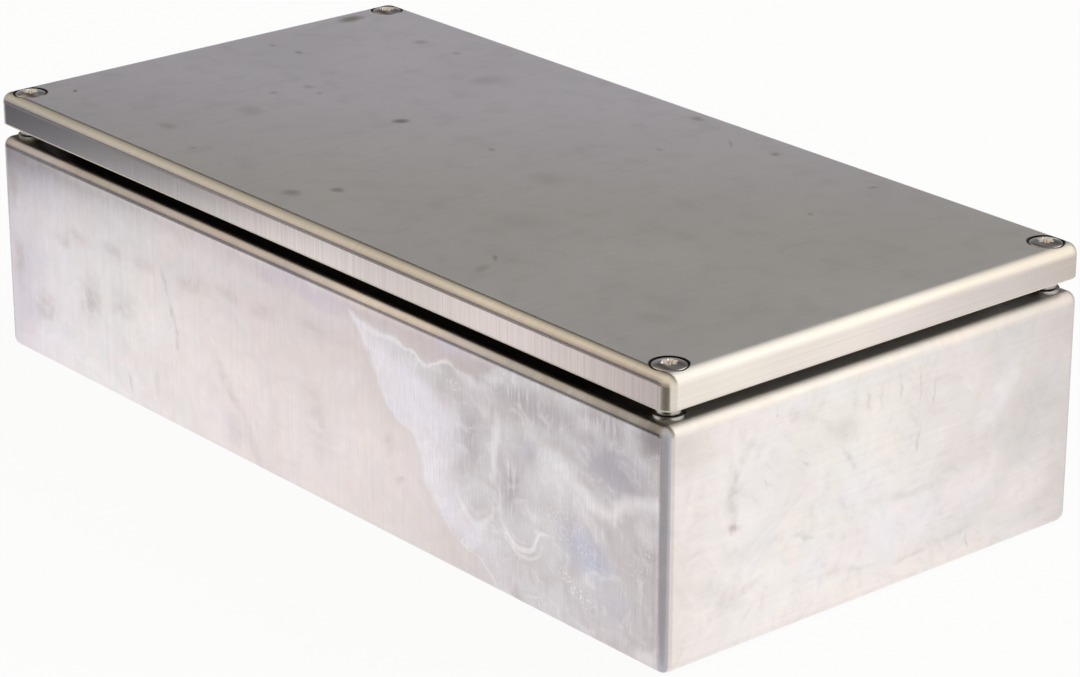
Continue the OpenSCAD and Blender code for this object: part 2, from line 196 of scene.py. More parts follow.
# white paper: plain diffuse, part of its white is given to the rays of the camera and of gloss,
# and in the metal it falls off towards the front left, where the lit paper ends
paper = {
    "colour": "#f3f2f1",
    "half": 4.0, "height": -0.0002,  # metres
    "cameraWhite": 0.93,
    "metalWhite": 0.97,
    "fallsTo": (-0.385, -0.923, 0.0),  # unit direction on the floor
    # metres that way from the middle of the box, share of white
    "fallOff": [(0.10, 1.0), (0.24, 1.0), (0.265, 0.97), (0.287, 0.24), (0.305, 0.1), (0.34, 0.1), (0.45, 0.3),
                (0.7, 0.55), (0.8, 0.5), (0.9, 0.3), (1.0, 0.15), (1.1, 0.08)],
}
paperMaterial, add = emptyMaterial("white paper")
mixed = add("BsdfDiffuse", paper["colour"])
place = add("TexCoord").outputs["Object"]
along = add("VectorMath", place, paper["fallsTo"], operation="DOT_PRODUCT")
metalWhite = add("Emission", toneAlong(add, along, paper["fallOff"]), 1.0)
cameraWhite = add("Emission", "#ffffff", 1.0)
path = add("LightPath").outputs
mirrored = add("Math", path["Is Glossy Ray"], path["Is Transmission Ray"], operation="MAXIMUM")
whites = [(mirrored, "metalWhite", metalWhite), (path["Is Camera Ray"], "cameraWhite", cameraWhite)]
for ray, key, white in whites:
    share = add("Math", ray, paper[key], **times)
    mixed = add("MixShader", share, mixed, white)
add("OutputMaterial", mixed)
flatSheet("floor", (0.0, 0.0), paper["half"], 0.0, paper["height"], paperMaterial)

# dark card lying in front of the near corner, out of the picture, that only the metal mirrors; it gets lighter
# round its inner corner, by the share of the way along its two sides
card = {
    "inner": (0.152, -0.078), "side": 0.5, "height": 0.001,  # metres
    "turn": -22.0,  # degrees, direction of its right side
    "tones": [(0.0, "#0d0d0f"), (0.4, "#161618"), (0.6, "#3a393d"), (0.82, "#99979b"), (1.0, "#e4e3e4")],
}
cardTurn = math.radians(card["turn"])
rightWay, leftWay = [np.array([math.cos(a), math.sin(a), 0.0]) for a in (cardTurn, cardTurn - math.pi / 2)]
cardInner = np.array([*card["inner"], 0.0])
cardMiddle = cardInner + 0.5 * card["side"] * (rightWay + leftWay)
cardMaterial, add = emptyMaterial("dark card")
place = add("TexCoord").outputs["Object"]
fromInner = add("VectorMath", place, tuple(cardInner), operation="SUBTRACT")
ways = [add("VectorMath", fromInner, tuple(way), operation="DOT_PRODUCT") for way in (leftWay, rightWay)]
both = add("Math", *ways, operation="ADD")
turnShare = add("Math", ways[0], both, operation="DIVIDE")
add("OutputMaterial", add("BsdfDiffuse", toneAlong(add, turnShare, card["tones"])))
flag = flatSheet("dark card", cardMiddle[:2], card["side"] / 2, cardTurn, card["height"], cardMaterial)
flag.visible_camera = flag.visible_diffuse = flag.visible_shadow = False
print("studio set")


# soft oval marks: the point is moved, turned and scaled until the oval is a unit circle, and the mark
# fades from near its middle to its rim; of several marks the strongest counts
def ovalMarks(add, point, marks, core=0.1):
    total = None
    for u, v, halfLength, halfWidth, turn, strength in marks:
        unit = add("Mapping", point, (u, v, 0), (0, 0, math.radians(turn)), (halfLength, halfWidth, 1),
                   vector_type="TEXTURE")
        reach = add("VectorMath", unit, operation="LENGTH")
        mark = add("MapRange", reach, 1.0, core, 0.0, strength, **soft)
        total = mark if total is None else add("Math", total, mark, operation="MAXIMUM")
    return total


# a band about one value: full there, nothing further off than its width
def bandMark(add, value, middle, width, strength):
    off = add("Math", value, middle, operation="SUBTRACT")
    off = add("Math", off, operation="ABSOLUTE")
    return add("MapRange", off, width, 0.0, 0.0, strength, **soft)


# the part of a share that is left: it grows as a value goes from one limit to the next
def within(add, share, value, limits):
    return add("Math", share, add("MapRange", value, *limits), **times)


# tide lines: the rim of an oval drawn as a soft line that fades out towards a height; the strongest counts
def tideLines(add, point, up, lines, fade):
    total = None
    for u, v, halfWidth, halfHeight, thick, below, strength in lines:
        unit = add("Mapping", point, (u, v, 0), (0, 0, 0), (halfWidth, halfHeight, 1), vector_type="TEXTURE")
        reach = add("VectorMath", unit, operation="LENGTH")
        line = bandMark(add, reach, 1.0, thick / halfWidth, strength)
        line = within(add, line, up, (below, below - fade))
        total = line if total is None else add("Math", total, line, operation="MAXIMUM")
    return total


# drawn line: a curve through points gives a value at each place along, and the result is how far past it
# the point lies
def pastLine(add, along, value, points):
    (lowA, highA), (lowV, highV) = [(min(axis), max(axis)) for axis in zip(*points)]
    curve = add("FloatCurve", 1.0, add("MapRange", along, lowA, highA))
    dots = curve.mapping.curves[0].points
    spots = [((a - lowA) / (highA - lowA), (b - lowV) / (highV - lowV)) for a, b in sorted(points)]
    dots[0].location, dots[1].location = spots[0], spots[-1]
    for spot in spots[1:-1]:
        dots.new(*spot)
    curve.mapping.update()
    drawn = add("Math", curve, highV - lowV, lowV, operation="MULTIPLY_ADD")
    return add("Math", value, drawn, operation="SUBTRACT")


# flat coordinates of one face, and the same with wandering edges: each noise in turn shifts the point it reads
# (the faces take different numbers of noises, which also spreads the marks over the shader's small store)
def wander(add, u, v, steps):
    flat = moved = add("CombineXYZ", u, v)
    for size, shift in steps:
        noise = add("TexNoise", moved, 1 / size, 2.0).outputs["Color"]
        push = add("VectorMath", noise, (2 * shift, 2 * shift, 0), (-shift, -shift, 0),
                   operation="MULTIPLY_ADD")
        moved = add("VectorMath", moved, push, operation="ADD")
    return flat, moved


# brushed stainless sheet: fine grain lies along Y on the top and the ends and upright on the long sides,
# so highlights spread across the grain and stay narrow along it
grain = {
    "width": 0.4,  # mm, real lines are about 0.05 mm and would not show
    "length": 45.0,  # mm
    "roughness": 0.35,
    "sideRoughness": 0.25,  # of the long sides
    "spread": 1.0,
    "endFrom": (0.4, 0.8), "sideFrom": (0.5, 0.9),  # how far a face looks along X or Y to count as end or side
    "middle": (0.25, 0.75),  # part of the noise that is used
    "lighter": 0.8,  # light lines, as a share of the dark ones
    "glossWave": (-0.08, 0.04),  # factor and shift from the noise to the roughness
    "relief": 0.08, "reliefHigh": 0.00004,  # strength, and height in metres
}


# coordinates in mm, the direction each face looks, the grain and the direction across it
def sheetBasics(add):
    place = add("TexCoord").outputs["Object"]
    mm = add("VectorMath", place, 1000.0, operation="SCALE")
    normal = add("NewGeometry").outputs["Normal"]
    facing = add("SeparateXYZ", normal).outputs
    endOn = add("Math", facing["X"], operation="ABSOLUTE")
    onEnd = add("MapRange", endOn, *grain["endFrom"])
    fine, slow = 1 / grain["width"], 1 / grain["length"]
    sideLines, endLines = [add("VectorMath", mm, waves, **times)
                           for waves in ((fine, slow, slow), (slow, slow, fine))]
    lines = add("Mix", onEnd, sideLines, endLines, data_type="VECTOR")
    scratch = add("TexNoise", lines, 1.0, 2.0)
    # across the grain: the normal crossed with Y, with a little X so that the long sides have one too
    crossed = add("VectorMath", normal, (0, 1, 0), operation="CROSS_PRODUCT")
    across = add("VectorMath", crossed, (-0.01, 0, 0), operation="ADD")
    spots = add("SeparateXYZ", mm).outputs
    return mm, spots, facing, scratch, across


# last part of a sheet: the grain lightens and darkens the colour, varies the gloss and gives a fine relief
def sheetShader(add, colour, facing, scratch, across, contrast, metal, dull=None):
    tone = add("MapRange", scratch, *grain["middle"], 1 - contrast, 1 + contrast * grain["lighter"])
    colour = add("VectorMath", colour, tone, operation="SCALE")
    sideOn = add("Math", facing["Y"], operation="ABSOLUTE")
    plain = add("MapRange", sideOn, *grain["sideFrom"], grain["roughness"], grain["sideRoughness"])
    gloss = add("Math", scratch, *grain["glossWave"], operation="MULTIPLY_ADD")
    for more in (plain,) if dull is None else (plain, dull):
        gloss = add("Math", gloss, more, operation="ADD")
    ridges = add("Bump", grain["relief"], grain["reliefHigh"], named={"Height": scratch})
    steel = add("BsdfPrincipled", named={
        "Base Color": colour, "Metallic": metal, "Roughness": gloss, "Anisotropic": grain["spread"],
        "Tangent": across, "Normal": ridges})
    add("OutputMaterial", steel)


# lid: even grey brushed sheet with greasy dots; painted light makes it cooler and lighter at the back left,
# painted shade darkens a ring round each screw, and its bends and skirts carry painted highlights and shade
lidFinish = {
    # the cool and warm tones paint light across the top, the edge tone is partly a painted highlight, and the
    # darkest tone paints shade round the screws
    "warmShaded": "#dcd8d4", "coolLit": "#e7e4eb", "smudge": "#99958f", "edge": "#f4efe9", "screwShade": "#171513",
    "contrast": 0.05,
    "wander": ((9.0, 1.6), (2.2, 0.5)),  # mm, sizes of the noises and their shifts
    "topFrom": (0.9, 0.98),  # how far a face looks up to count as the top
    "cloud": 45.0,  # mm
    "cloudTone": (0.3, 0.7, 0.96, 1.03),  # from this part of the noise to these tones
    "slant": (0.6, -0.7, 0), "slantClouds": 60.0, "slantFrom": (-30.0, 60.0),  # direction, then mm
    "mottle": 9.0,  # mm
    "mottleFrom": (0.5, 0.75, 0.0, 0.14),
    "skirtEdge": (72.4, 72.15),  # mm, heights where the ground edge of the skirt begins and is full
    "edgeDull": 0.35, "edgeMetal": 0.3,
    "screwAt": (143.0, 68.0),  # mm from the middle of the box
    # the painted shadow of the gap round each screw head
    "screwShadeRing": (4.9, 0.55, 1.6),  # radius and half width in mm, strength
    # painted highlights on the bends and painted shade on the skirts, as tones along x and along y, in mm
    "longBend": [(-150, "#dedad7"), (-5, "#e4dfda"), (80, "#faf3ea"), (150, "#f4ece3")],
    "longSkirt": [(-150, "#c4c1c9"), (-110, "#dcd8dc"), (-60, "#e2dbdb"), (-10, "#efe5e2"), (30, "#e3d9d6"),
                  (60, "#e2d7d3"), (95, "#e7dbd8"), (125, "#d6c9c6"), (147, "#c5bab8")],
    "endBend": [(-75, "#fcf7ee"), (0, "#fcf6ea"), (40, "#f8efe0"), (75, "#f4ead9")],
    "endSkirt": [(-75, "#f3ebe1"), (-10, "#efe6df"), (22, "#e1d7d3"), (48, "#d8d0cb"), (75, "#c9beb6")],
    # which tone, the axis it runs along, the axis its face looks along, and how far it has to
    "turns": [("longBend", "X", "Y", (0.2, 0.5)), ("longSkirt", "X", "Y", (0.72, 0.92)),
              ("endBend", "Y", "X", (0.1, 0.5)), ("endSkirt", "Y", "X", (0.5, 0.9))],
    "bendTop": (79.8, 78.2),  # mm, heights between which the end bend turns into the end skirt
    # x, y, half length, half width in mm, turn in degrees, strength
    "dots": [(-50, 0, 4.0, 2.9, 70, 0.95), (-142.5, 53, 7, 4.2, 95, 0.85), (5, 68, 3.6, 3, 0, 0.5),
             (43, 63, 2.8, 2.4, 0, 0.6), (-19, -63, 4.6, 3.4, 20, 0.6), (-13, -52, 3.4, 2.6, 20, 0.7),
             (-124, 18, 2.4, 2, 0, 0.6), (-135, 17, 2.4, 1.8, 0, 0.5), (-108, 54, 3.8, 3, 60, 0.4),
             (-92, 55, 2.4, 2, 0, 0.4), (-94, -1, 2.8, 2.4, 0, 0.4), (-96, -12, 2.4, 1.9, 0, 0.4),
             (-90, -55, 4.8, 3.6, 0, 0.35), (-69, -61, 2.4, 1.9, 0, 0.4), (-12, 4, 2.2, 1.7, 0, 0.5),
             (87, 35, 1.5, 1.2, 0, 0.6), (62, -61, 5, 2.6, 110, 0.35), (58, -53, 3.6, 0.8, -40, 0.6),
             (-86, -28, 7, 6, 0, 0.25), (-64, 45, 9, 7, 60, 0.25), (-136, -57, 1.8, 1.0, -30, 0.9),
             (82, 64, 2.4, 1.6, 60, 0.5), (28, 60, 5, 0.7, -45, 0.4), (18, -1, 9, 7, 0, 0.2),
             (40, -29, 14, 10, 30, 0.15), (118, -50, 9, 5, 20, 0.15), (19, 41, 2, 1.4, 0, 0.4),
             (-86, -2, 2, 1.5, 0, 0.35)],
}
lidSteel, add = emptyMaterial("brushed stainless sheet of the lid")
mm, spots, facing, scratch, across = sheetBasics(add)
plan, uneven = wander(add, spots["X"], spots["Y"], lidFinish["wander"])
dots = ovalMarks(add, uneven, lidFinish["dots"])
# painted light: a slanting change from cool and lighter at the back left to warm and darker at the front
# right; a plane through the middle of the lid, blurred by large clouds
cloud = add("TexNoise", mm, 1 / lidFinish["cloud"], 4.0)
slant = add("VectorMath", plan, lidFinish["slant"], operation="DOT_PRODUCT")
slant = add("Math", cloud, lidFinish["slantClouds"], slant, operation="MULTIPLY_ADD")
shadeAndWarmth = add("MapRange", slant, *lidFinish["slantFrom"])
colour = add("Mix", shadeAndWarmth, lidFinish["coolLit"], lidFinish["warmShaded"], **paint)
mottle = add("TexNoise", mm, 1 / lidFinish["mottle"], 3.0)
mottle = add("MapRange", mottle, *lidFinish["mottleFrom"])
dots = add("Math", dots, mottle, operation="MAXIMUM")
dots = within(add, dots, facing["Z"], lidFinish["topFrom"])
colour = add("Mix", dots, colour, lidFinish["smudge"], **paint)
# the bends and skirts take their painted highlights and shade
for key, along, looks, turns in lidFinish["turns"]:
    tone = toneAlong(add, spots[along], lidFinish[key])
    turnedTo = add("Math", facing[looks], operation="ABSOLUTE")
    share = add("MapRange", turnedTo, *turns)
    if key == "endSkirt":
        share = within(add, share, spots["Z"], lidFinish["bendTop"])
    colour = add("Mix", share, colour, tone, **paint)
shade = add("MapRange", cloud, *lidFinish["cloudTone"])
colour = add("VectorMath", colour, shade, operation="SCALE")
# ground edge of the skirt: matt and less metallic, and its lighter tone is a painted highlight along the edge
groundEdgeHighlight = add("MapRange", spots["Z"], *lidFinish["skirtEdge"])
colour = add("Mix", groundEdgeHighlight, colour, lidFinish["edge"], **paint)
# painted shade round the screw heads: a ring at a distance from the nearest screw, the same in all four
# corners
folded = add("VectorMath", plan, operation="ABSOLUTE")
fromScrew = add("VectorMath", folded, (*lidFinish["screwAt"], 0), operation="DISTANCE")
screwShade = bandMark(add, fromScrew, *lidFinish["screwShadeRing"])
colour = add("Mix", screwShade, colour, lidFinish["screwShade"], **paint)
dull = add("Math", groundEdgeHighlight, lidFinish["edgeDull"], **times)
metal = add("MapRange", groundEdgeHighlight, 0.0, 1.0, 1.0, lidFinish["edgeMetal"])
sheetShader(add, colour, facing, scratch, across, lidFinish["contrast"], metal, dull)

# tub: the same sheet, clouded and stained by rinsing, with ground welds up its corners whose bluish grey is
# also painted shade, painted highlights on its bends and painted shade in the gutter
tubFinish = {
    "plain": "#e9e3df",
    "contrast": 0.022,
    # size in mm, detail, roughness and distortion of the clouds, the hues, the mottle and the swirls
    "noises": [(34, 4.0, 0.5, 0.8), (20, 3.0, 0.5, 1.2), (5, 3.0, 0.5, 0.5), (13, 5.0, 0.6, 3.0)],
    # darkest and lightest that clouds, swirls and mottle make the sheet, over this part of each noise
    "cloudFrom": (0.3, 0.7),
    "cloudTone": (0.96, 1.03), "swirlTone": (0.965, 1.025), "mottleTone": (0.98, 1.015),
    "torn": (0.38, 0.6, 0.25),  # part of the mottle that tears marks up, and the least that is left of them
    "hueFrom": (0.42, 0.58), "rosy": (1.0, 0.985, 0.975, 1), "cold": (0.985, 0.992, 1.0, 1),
    "frontFrom": (-0.5, -0.65), "rightFrom": (0.68, 0.74),  # how far a stained face looks along Y or X
    # bend over the short side, a painted highlight: tones along y in mm, how far it looks along X, and from
    # which height in mm
    "bend": [(-75, "#fbf4ea"), (0, "#f9f2e8"), (40, "#f2eae1"), (75, "#e6ddd4")],
    "bendTurn": (0.1, 0.5), "bendFrom": (64.1, 65.8),
    # bend over the long side, a painted highlight and shade, the same along x; its tones are lifted by a
    # factor
    "longBend": [(-145, "#d1d1d1"), (-125, "#d5d3d7"), (-110, "#c6c2c5"), (-90, "#cecece"), (-70, "#cfcfd4"),
                 (-45, "#e2e1e4"), (-15, "#e2e2e4"), (6, "#eaebee"), (28, "#ffffff"), (56, "#ffffff"),
                 (80, "#eef0f6"), (100, "#e2e2e0"), (120, "#dfe1e1"), (140, "#c6c6c6")],
    "longTurn": (-0.05, -0.3), "longFrom": (64.6, 65.4), "longLift": 1.2,
    "gutterShade": "#94908b",  # painted shade on the flat rim under the lid
    "gutterFrom": 66.0,  # mm
    "gutterFlat": (0.95, 1.0, 0.0, 0.9),  # how far a face looks up to take the painted shade, and how much
    "weldAndShade": "#c9cbdd",
    "weldFrom": (147.1, 148.3),  # mm from the middle of the box
    "weldTurn": (0.34, 0.42),  # how far its face looks along Y
    "weldMetal": 0.25,  # the ground welds are nearly matt
}
tubSteel, add = emptyMaterial("brushed stainless sheet of the tub")
mm, spots, facing, scratch, across = sheetBasics(add)
# the swirls, where water dried, are a noise that is strongly bent by itself
cloud, hue, mottle, swirl = [
    add("TexNoise", mm, 1 / size, detail, rough, named={"Distortion": distortion})
    for size, detail, rough, distortion in tubFinish["noises"]]
torn = add("MapRange", mottle, *tubFinish["torn"])

# long side: tones along x, then smudges, then the rinsed part at the right with its film and tide lines
longStains = {
    "along": [(-150, "#e2dbe0"), (-144, "#eee7ed"), (-125, "#f5eff3"), (-95, "#f5f0f0"), (-60, "#f6eeed"),
              (-20, "#f4eae9"), (30, "#f0e6e4"), (80, "#e0d7d6"), (150, "#cdc5c6")],
    # upward: painted shade, darker towards the top of the face and lighter again at the bend
    "upward": [(0, "#ffffff"), (26, "#ffffff"), (40, "#f7f7f7"), (52, "#efeeef"), (58, "#efeef0"),
               (63, "#e7e4e7"), (65, "#f2f0f0"), (67, "#ffffff")],
    "brown": "#c3b6b3", "lilac": "#dad1da", "pale": "#f4f0f3", "film": "#efe9f0", "line": "#f6f2f5",
    "dim": "#bfb7ba", "shade": "#9a9193", "steelBlue": "#bab6bf", "blue": "#c9c9d7",
    "rinsed": [(0.35, "#cfc8ca"), (0.5, "#d9d3d5"), (0.65, "#e0dadb")],  # by hue
    "wander": ((13.0, 3.2), (2.6, 0.8)),  # mm, sizes of the noises and their shifts
    # z and x of the left edge of the rinsed part, and of the inner edge of its bright film, in mm
    "leftEdge": [(68, 20), (63, 22), (56, 28), (45, 34.5), (37.5, 42), (32, 51), (23, 55.5), (15, 61),
                 (11, 66), (9.5, 71), (7.5, 76.5), (4, 81), (-2, 84)],
    "innerEdge": [(68, 27), (60, 34.5), (52, 48), (48.5, 58), (42, 64), (30, 64.5), (20, 69), (15, 76),
                  (8, 84), (-2, 88)],
    # x and z along its upper edge
    "upperEdge": [(15, 65), (23, 62), (34, 60.2), (43, 59.8), (51, 59), (54.5, 57), (59, 59.2), (64.5, 60.2),
                  (69, 58.5), (76, 60), (84, 64), (92, 70), (150, 72)],
    "leftSoft": (-1.6, 1.6), "upperSoft": (0.8, -0.8),  # mm past the edges where the rinsed part begins
    "leftRim": (0.8, 1.3, 0.5), "upperRim": (-0.7, 1.5, 0.7),  # mm past the edge, width in mm, strength
    "rimTo": (76.0, 64.0),  # x in mm, where the upper rim ends and is full
    "filmFrom": (12.0, -8.0), "filmLow": (4.0, 16.0),  # mm past the inner edge, and heights in mm
    "streak": (0.9, 0.12, 0),  # waves to the mm, streaks about 1.1 mm wide and 8 mm long
    "streakFrom": (0.5, 0.7, 0.0, 0.55),
    "hair": (0.45, 7.0),  # mm, width and length
    "hairTone": (0.3, 0.7, 0.955, 1.04),
    "wisps": (0.5, 0.7, 0.0, 0.28),  # part of the swirls, and how strongly it shows
    "pinhole": 0.9,  # mm
    "pinholeFrom": (0.54, 0.64),
    # x and z along the light lower edge of the steel blue patch, then its place, width and strength
    "flow": [(100, 47), (110, 44), (118, 41), (126.5, 37.6), (133, 39.8), (139, 43), (147, 45.5), (150, 46)],
    "flowBand": (0.6, 4.2, 0.75), "flowFrom": (98.0, 112.0),
    # x and z along the tail of the tide lines, the same, and x where its two ends fade in
    "tail": [(90, 16.6), (94, 17.0), (97, 18.4), (99.5, 20.6), (102, 22.6), (105, 23.8), (109, 24.4)],
    "tailBand": (0.0, 1.3, 0.75), "tailEnds": ((91.0, 96.0), (109.0, 104.0)),
    # tide lines: x, z, half width, half height, thickness and height of the top in mm, strength
    "tides": [(93.5, 29, 9.0, 12.0, 1.0, 23, 0.7), (95, 29.5, 11.2, 14.2, 0.9, 21, 0.5),
              (93, 28, 6.6, 9.0, 0.7, 22, 0.35), (76, 28, 7.5, 10.2, 1.6, 26, 0.5),
              (76.5, 29, 5.6, 8.2, 1.0, 25, 0.3)],
    "tideFade": 4.0,  # mm
    # marks: x, z, half length, half width in mm, turn in degrees, strength
    "dimMarks": [(72.5, 41, 17, 9, 86, 0.82), (91, 33, 14, 7, 86, 0.9), (97, 58.5, 30, 8, 0, 0.9),
                 (126, 62, 16, 5, 0, 0.9)],
    "shadeMarks": [(145.5, 62, 10, 7, 0, 0.85)],
    "blueMarks": [(121, 24, 17, 8.5, -22, 0.9), (131, 13, 14, 6, 15, 0.4)],
    "steelBlueMarks": [(131, 51, 19, 12, -8, 0.85), (98, 45, 6, 9, 90, 0.5)],
    "paleMarks": [(109, 41.5, 15, 9, -20, 0.6), (121.5, 60, 9, 4, 5, 0.35), (143, 38, 6, 6, 0, 0.6),
                  (143, 3.4, 10, 4, 8, 0.6), (84, 42, 14, 2.4, 88, 0.7), (76, 57, 9, 3, 0, 0.5)],
    "brownMarks": [(-104, 28.5, 13, 8, 80, 0.55), (-87, 31, 12, 8, 20, 0.4), (-118, 43, 6, 4, -30, 0.5),
                   (-65, 45, 7, 1.8, -66, 0.55), (-61, 34, 8, 1.8, -72, 0.6), (-60, 27.5, 4, 1.6, -88, 0.5),
                   (-35, 22, 17, 4, -52, 0.36), (-24, 8, 12, 4, -60, 0.34), (-71.5, 12, 6, 1.4, -84, 0.45),
                   (-85, 7, 5, 1.4, -60, 0.4), (39, 27, 5, 3.6, 60, 0.35), (6, 26, 22, 9, -75, 0.3),
                   (-129, 17.5, 10, 8, 60, 0.5), (-143, 30, 12, 6, 90, 0.55), (-144.5, 53, 14, 6, 85, 0.5),
                   (-112, 45.6, 14, 4, 4, 0.42), (-92, 47, 10, 3.6, -3, 0.45), (-76, 47.6, 8, 3.4, 8, 0.34),
                   (-51, 48.6, 13, 4.2, 2, 0.42), (-34, 49.8, 9, 3.8, -4, 0.42), (-17, 50.2, 11, 4, 5, 0.36),
                   (6, 51, 12, 3.8, 3, 0.34), (44, 18, 3, 2, 0, 0.5)],
    "lilacMarks": [(-140, 22, 34, 15, 80, 0.6), (0, 62.5, 36, 5, -3, 0.75), (66, 63.5, 14, 3, 0, 0.6),
                   (-33, 9, 9, 6, -30, 0.5), (-143, 64, 10, 4, 0, 0.5)],
    "specks": [(116, 13, 12, 3.5, -31, 0.9), (103, 5, 4, 4, 40, 0.8), (143, 31, 13, 3, 88, 0.5),
               (67, 53, 5, 3, 20, 0.6), (120, 24, 13, 5, -25, 0.4), (110, 30, 16, 10, 0, 0.35)],
}
upright, uneven = wander(add, spots["X"], spots["Z"], longStains["wander"])
side = add("SeparateXYZ", uneven).outputs
longColour = toneAlong(add, side["X"], longStains["along"])
upward = toneAlong(add, side["Y"], longStains["upward"])
longColour = add("VectorMath", longColour, upward, **times)
smudged = ovalMarks(add, uneven, longStains["brownMarks"])
smudged = add("Math", smudged, torn, **times)
for share, tone in ((ovalMarks(add, uneven, longStains["lilacMarks"]), "lilac"), (smudged, "brown")):
    longColour = add("Mix", share, longColour, longStains[tone], **paint)
# rinsed part: right of its left edge and under its upper edge
rightOf = pastLine(add, side["Y"], side["X"], longStains["leftEdge"])
innerOf = pastLine(add, side["Y"], side["X"], longStains["innerEdge"])
above = pastLine(add, side["X"], side["Y"], longStains["upperEdge"])
rightShare = add("MapRange", rightOf, *longStains["leftSoft"])
rinsed = within(add, rightShare, above, longStains["upperSoft"])
inside = toneAlong(add, hue, longStains["rinsed"])
tones = ("dim", "steelBlue", "blue", "pale", "shade")
shares = [ovalMarks(add, uneven, longStains[tone + "Marks"]) for tone in tones]
for share, tone in zip(shares, tones):
    inside = add("Mix", share, inside, longStains[tone], **paint)
# film: bright at the left edge, thinning out past the inner edge
filmShare = add("MapRange", innerOf, *longStains["filmFrom"], **soft)
filmShare = within(add, filmShare, side["Y"], longStains["filmLow"])
# upright streaks of dried water in the dim tongues
streaks = add("VectorMath", upright, longStains["streak"], **times)
streaks = add("TexNoise", streaks, 1.0, 3.0)
streaks = within(add, shares[0], streaks, longStains["streakFrom"])
# tide lines: drawn bows, the light edge under the steel blue patch, and thin wisps of the swirls
bows = tideLines(add, uneven, side["Y"], longStains["tides"], longStains["tideFade"])
flow = bandMark(add, pastLine(add, side["X"], side["Y"], longStains["flow"]), *longStains["flowBand"])
flow = within(add, flow, side["X"], longStains["flowFrom"])
tail = bandMark(add, pastLine(add, side["X"], side["Y"], longStains["tail"]), *longStains["tailBand"])
for end in longStains["tailEnds"]:
    tail = within(add, tail, side["X"], end)
bows = add("Math", bows, tail, operation="MAXIMUM")
wisps = add("MapRange", swirl, *longStains["wisps"], **soft)
pinholes = add("TexNoise", upright, 1 / longStains["pinhole"], 1.0)
pinholes = within(add, ovalMarks(add, uneven, longStains["specks"]), pinholes, longStains["pinholeFrom"])
upperRim = within(add, bandMark(add, above, *longStains["upperRim"]), side["X"], longStains["rimTo"])
rims = add("Math", bandMark(add, rightOf, *longStains["leftRim"]), upperRim, operation="MAXIMUM")
inside = add("Mix", filmShare, inside, longStains["film"], **paint)
for share in (streaks, wisps, flow, bows, pinholes, rims):
    inside = add("Mix", share, inside, longStains["line"], **paint)
# hairs: short upright lines of the grain that the dried film shows up
waves = (1 / longStains["hair"][0], 1 / longStains["hair"][1], 0)
hairs = add("VectorMath", upright, waves, **times)
hairs = add("TexNoise", hairs, 1.0, 2.0)
hairs = add("MapRange", hairs, *longStains["hairTone"])
inside = add("VectorMath", inside, hairs, operation="SCALE")
longColour = add("Mix", rinsed, longColour, inside, **paint)

# short side: tones along y, then pale clouds, drips and scratches
shortStains = {
    "along": [(-75, "#f5ede9"), (-62, "#f9f2ef"), (-44, "#fbf6f4"), (-15, "#f9f5f2"), (5, "#f7f2ef"),
              (24, "#f1ecea"), (46, "#ede8e6"), (64, "#e7e1df"), (75, "#e1d9d5")],
    # upward: faint painted shade, a little darker towards the top
    "upward": [(0, "#ffffff"), (16, "#ffffff"), (30, "#fcfcfc"), (50, "#fcfcfc"), (62, "#fafafa")],
    "pink": "#fdf4f1", "grey": "#d3cecb", "lilac": "#f8f3f6", "brown": "#cdc0bc", "yellow": "#ece3da",
    "wander": ((24.0, 3.0), (9.0, 2.2), (2.4, 0.9)),  # mm, sizes of the noises and their shifts
    "wisps": (0.46, 0.3, 0.0, 0.12),  # part of the swirls, and how strongly it shows
    # marks: y, z, half length, half width in mm, turn in degrees, strength
    "greyMarks": [(57, 38, 18, 15, 60, 0.45), (-14, 51, 10, 5, -15, 0.45), (-11.5, 43, 7, 1.8, -55, 0.6),
                  (-56, 17, 16, 4.4, -28, 0.4), (-46, 17, 9, 2.4, 15, 0.4), (12, 26.5, 26, 2.0, -6, 0.3),
                  (-27, 45.5, 3, 0.9, -50, 0.5), (-41, 44, 2.6, 0.8, -60, 0.5), (12, 8, 10, 1.3, 12, 0.4),
                  (30, 9.5, 11, 1.2, 3, 0.4), (-27, 24.8, 6, 1.0, -14, 0.6), (-10, 10.5, 18, 1.1, -8, 0.35),
                  (35, 5.6, 4.4, 0.6, -80, 0.8), (-37, 62, 1.3, 0.8, 40, 0.6), (-50, 27, 8, 4, 20, 0.3),
                  (65, 3.4, 6, 0.9, 3, 0.5), (-30, 60, 8, 3, -10, 0.25), (-36, 34, 16, 10, 30, 0.12),
                  (10, 44, 22, 10, 0, 0.12)],
    "pinkMarks": [(0, 2, 90, 9, 0, 0.9), (36, 24, 17, 7, 10, 0.7), (-50, 60, 20, 8, 10, 0.7),
                  (55, 16, 18, 10, 30, 0.7), (-66, 45, 12, 10, 0, 0.7), (-30, 20, 6, 2.4, -55, 0.9)],
    "brownMarks": [(-51.5, 44, 13, 3.0, -85, 0.75), (-51, 34.5, 3.4, 2.3, 0, 0.9),
                   (-47.5, 54, 5, 1.6, 55, 0.5), (13.5, 57, 8, 0.9, 90, 0.6), (13.8, 42, 5, 1.0, 88, 0.5),
                   (7, 57, 6, 0.8, 88, 0.5), (20, 54, 8, 0.7, 90, 0.5), (0.5, 56, 5, 0.9, 85, 0.4),
                   (-5, 56, 5, 0.9, 90, 0.35)],
    "lilacMarks": [(8, 18, 48, 11, 5, 0.9), (44, 45, 15, 7, 50, 0.8), (-25, 38, 8, 5, 0, 0.7),
                   (-10, 33, 22, 5, -8, 0.5)],
    "yellowMarks": [(-68, 61, 13, 9, -35, 0.8)],
}
uneven = wander(add, spots["Y"], spots["Z"], shortStains["wander"])[1]
side = add("SeparateXYZ", uneven).outputs
shortColour = toneAlong(add, side["X"], shortStains["along"])
